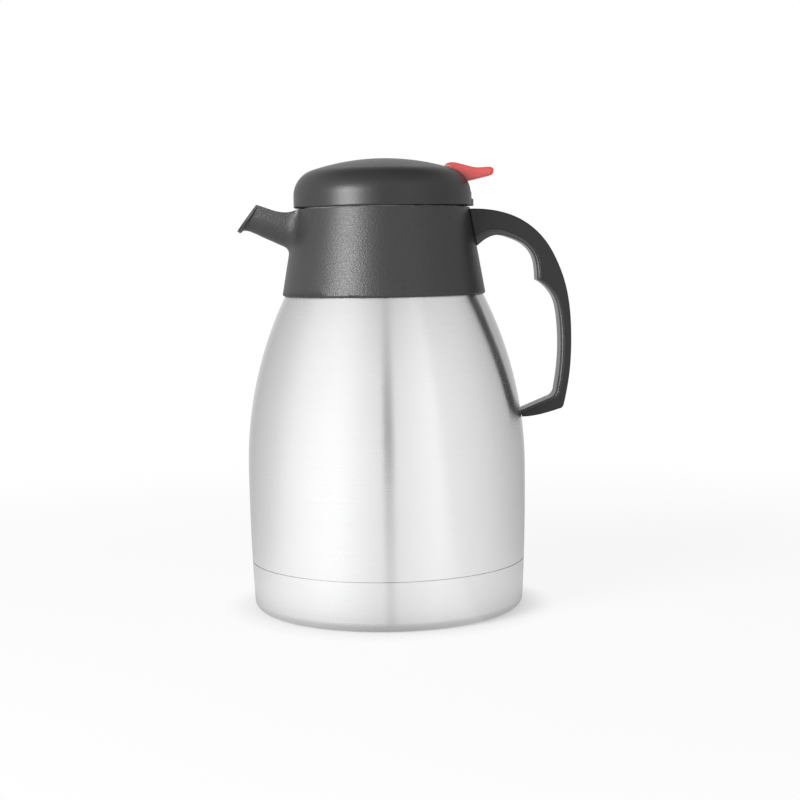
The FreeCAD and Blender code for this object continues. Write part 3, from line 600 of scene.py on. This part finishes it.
def thread_ridge(root, crest, height, first, last):
    """A ridge between two bearings in degrees. Its height is where its line crosses +X."""
    start, turn = math.radians(first), math.radians(last - first)
    bpy.ops.object.select_all(action="DESELECT")
    bpy.ops.mesh.primitive_plane_add(size=1)
    ridge = bpy.context.object
    pick(ridge, lambda co: co.x > 0)
    edit(ridge, bpy.ops.transform.resize, value=(1, CREST_SHARE, 1))
    middle = (root + crest) / 2
    foot = height + LEAD * start / math.tau
    ridge.scale = (crest - root, RIDGE, 1)
    ridge.rotation_euler = (math.pi / 2, 0, start)
    ridge.location = (middle * math.cos(start), middle * math.sin(start), foot)
    bpy.ops.object.transform_apply(location=True, rotation=True, scale=True)
    edit(ridge, bpy.ops.mesh.select_all, action="SELECT")
    sweep(ridge, turn, LEAD * turn / math.tau, round((last - first) / DEGREES_PER_STEP))
    return ridge


# %% [markdown]
# A moulded ridge starts thin, so that the thread finds its way in. Each end shrinks towards the wall
# that carries it, and a small bevel breaks the long edges, as a mould cutter does.

# %% Ridge ends
END_SHARE = 0.25
END_REACH = 1.25 * RIDGE
END_ANGLE = 0.02
EDGE_BREAK = 0.00025
RIDGE_SMOOTH = math.radians(35)


def taper_ends(ridge, root, height, first, last):
    for degrees in (first, last):
        angle = math.radians(degrees)
        flat = Vector((math.cos(angle), math.sin(angle)))
        foot = Vector((*(root * flat), height + LEAD * angle / math.tau))

        def at_end(co):
            return (co - foot).length < END_REACH and abs(co.xy.angle_signed(flat)) < END_ANGLE

        pick(ridge, at_end)
        shrink = (END_SHARE, END_SHARE, END_SHARE)
        edit(ridge, bpy.ops.transform.resize, value=shrink, center_override=foot)
    soft = ridge.modifiers.new("soft_edges", "BEVEL")
    soft.width = EDGE_BREAK
    soft.segments = 2
    bpy.ops.object.modifier_apply(modifier="soft_edges")
    bpy.ops.object.shade_smooth_by_angle(angle=RIDGE_SMOOTH)


# %% [markdown]
# The plug's ridges and the well's ridges lie half a pitch apart, so they pass each other all the way
# out. They stop short of the pouring window and the spout, where there is no wall to carry them. Each
# run is a height and two bearings, and the runs of a wall are joined, because a mould makes them at once.

# %% Thread on the plug and in the well
PLUG_WALL, PLUG_CREST = 0.0310, 0.0326
WELL_WALL, WELL_CREST = 0.0331, 0.0315
PLUG_RUNS = [(0.1895, -152, 152), (0.1945, -152, 8), (0.1845, -8, 152)]
WELL_RUNS = [(0.1870, -152, 152), (0.1920, -152, 70), (0.1820, 10, 152)]


def dress(piece, name, body, slot):
    """Name a new piece, give it its finish and let it ride on its body."""
    piece.name = piece.data.name = name
    piece.data.materials.clear()
    piece.data.materials.append(finishes[slot])
    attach(piece, body)
    print(name, "on", body, "with", len(piece.data.polygons), "faces")


def thread(root, crest, runs):
    ridges = []
    for height, first, last in runs:
        ridge = thread_ridge(root, crest, height, first, last)
        taper_ends(ridge, root, height, first, last)
        ridges.append(ridge)
    bpy.ops.object.select_all(action="DESELECT")
    for ridge in ridges:
        ridge.select_set(True)
    bpy.context.view_layer.objects.active = ridges[0]
    bpy.ops.object.join()
    return bpy.context.object


dress(thread(PLUG_WALL, PLUG_CREST, PLUG_RUNS), "plug_thread", "lid", "inner_plastic")
dress(thread(WELL_WALL, WELL_CREST, WELL_RUNS), "well_thread", "vessel", "collar_plastic")

# %% [markdown]
# The valve's spring sits between the stem's cap and the dome. The solid one can't shorten, so a coil of the
# same size stands for it here. It is the same sweep as the thread's, from a round wire.

# %% Valve spring
SPRING_LOW = 0.2078
SPRING_HIGH = 0.2178
SPRING_R = 0.0054
SPRING_WIRE = 0.0009
SPRING_TURNS = 4
STEPS_PER_TURN = 40
WIRE_CORNERS = 14
ROUND_SMOOTH = math.radians(40)

pitch = (SPRING_HIGH - SPRING_LOW - SPRING_WIRE) / SPRING_TURNS
bpy.ops.object.select_all(action="DESELECT")
bpy.ops.mesh.primitive_circle_add(
    vertices=WIRE_CORNERS, radius=SPRING_WIRE / 2, rotation=(math.pi / 2, 0, 0),
    location=(SPRING_R, 0, SPRING_LOW + SPRING_WIRE / 2))
spring = bpy.context.object
bpy.ops.object.transform_apply(location=True, rotation=True, scale=True)
edit(spring, bpy.ops.mesh.select_all, action="SELECT")
sweep(spring, math.tau, pitch, STEPS_PER_TURN, SPRING_TURNS)
bpy.ops.object.shade_smooth_by_angle(angle=ROUND_SMOOTH)
dress(spring, "valve_spring_coil", "lid", "small_steel")
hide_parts("valve_spring")
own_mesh(spring)

# %% [markdown]
# The spout ends in a rolled lip, which cuts the last drop. On the real collar it is a thin bead round
# the outside of the mouth. A bevel on the mouth's edge would only round it off, so the bead starts as a
# smooth curve along that edge. One half of the line is typed, and the other is its mirror image.

# %% Line of the lip
MOUTH_TOP = Vector((-0.0612, 0, 0.1986))
MOUTH_DOWN = Vector((-0.6173, 0, -0.7867))
MOUTH_BACK = Vector((0.7867, 0, -0.6173))
LIP_LINE = [  # aside from the middle, and down the mouth from its top
    (0.0107, 0.0008), (0.01035, 0.0036), (0.0099, 0.0064), (0.00895, 0.0092), (0.0074, 0.0120),
    (0.0052, 0.0141), (0.0025, 0.0153)]
LIP_SET_BACK = 0.0010
LIP_THIN_ABOVE = 0.001
LIP_THIN = 0.5

both_sides = LIP_LINE + [(-aside, down) for aside, down in reversed(LIP_LINE)]
bpy.ops.object.select_all(action="DESELECT")
bpy.ops.curve.primitive_nurbs_path_add(location=(0, 0, 0))
lip = bpy.context.object
line = lip.data.splines[0]
line.points.add(len(both_sides) - len(line.points))
for point, (aside, down) in zip(line.points, both_sides):
    edge = MOUTH_TOP + MOUTH_DOWN * down + MOUTH_BACK * LIP_SET_BACK
    point.co = (edge.x, aside, edge.z, 1)
    point.radius = LIP_THIN if down < LIP_THIN_ABOVE else 1.0
print("lip line with", len(line.points), "points")

# %% [markdown]
# The line gets a round section that is thinner at its two ends, where the bead runs out on the mouth's
# upper corners. Then it is made a mesh, so that its ends can be welded and its faces turned outwards.

# %% Bead of the lip
LIP_R = 0.0008
LIP_MERGE = 0.00001

line.order_u = 3
line.use_endpoint_u = True
line.resolution_u = 8
lip.data.bevel_depth = LIP_R
lip.data.bevel_resolution = 3
lip.data.use_fill_caps = True
bpy.ops.object.convert(target="MESH")
lip = bpy.context.object
bpy.ops.object.transform_apply(location=True, rotation=True, scale=True)
edit(lip, bpy.ops.mesh.select_all, action="SELECT")
edit(lip, bpy.ops.mesh.remove_doubles, threshold=LIP_MERGE)
edit(lip, bpy.ops.mesh.normals_make_consistent, inside=False)
bpy.ops.object.shade_smooth_by_angle(angle=ROUND_SMOOTH)
dress(lip, "spout_lip", "vessel", "collar_plastic")

# %% [markdown]
# The plain Standard view keeps the whites of the studio as they were lit.

# %% Colour management
scene.view_settings.view_transform = "Standard"
bpy.context.view_layer.update()
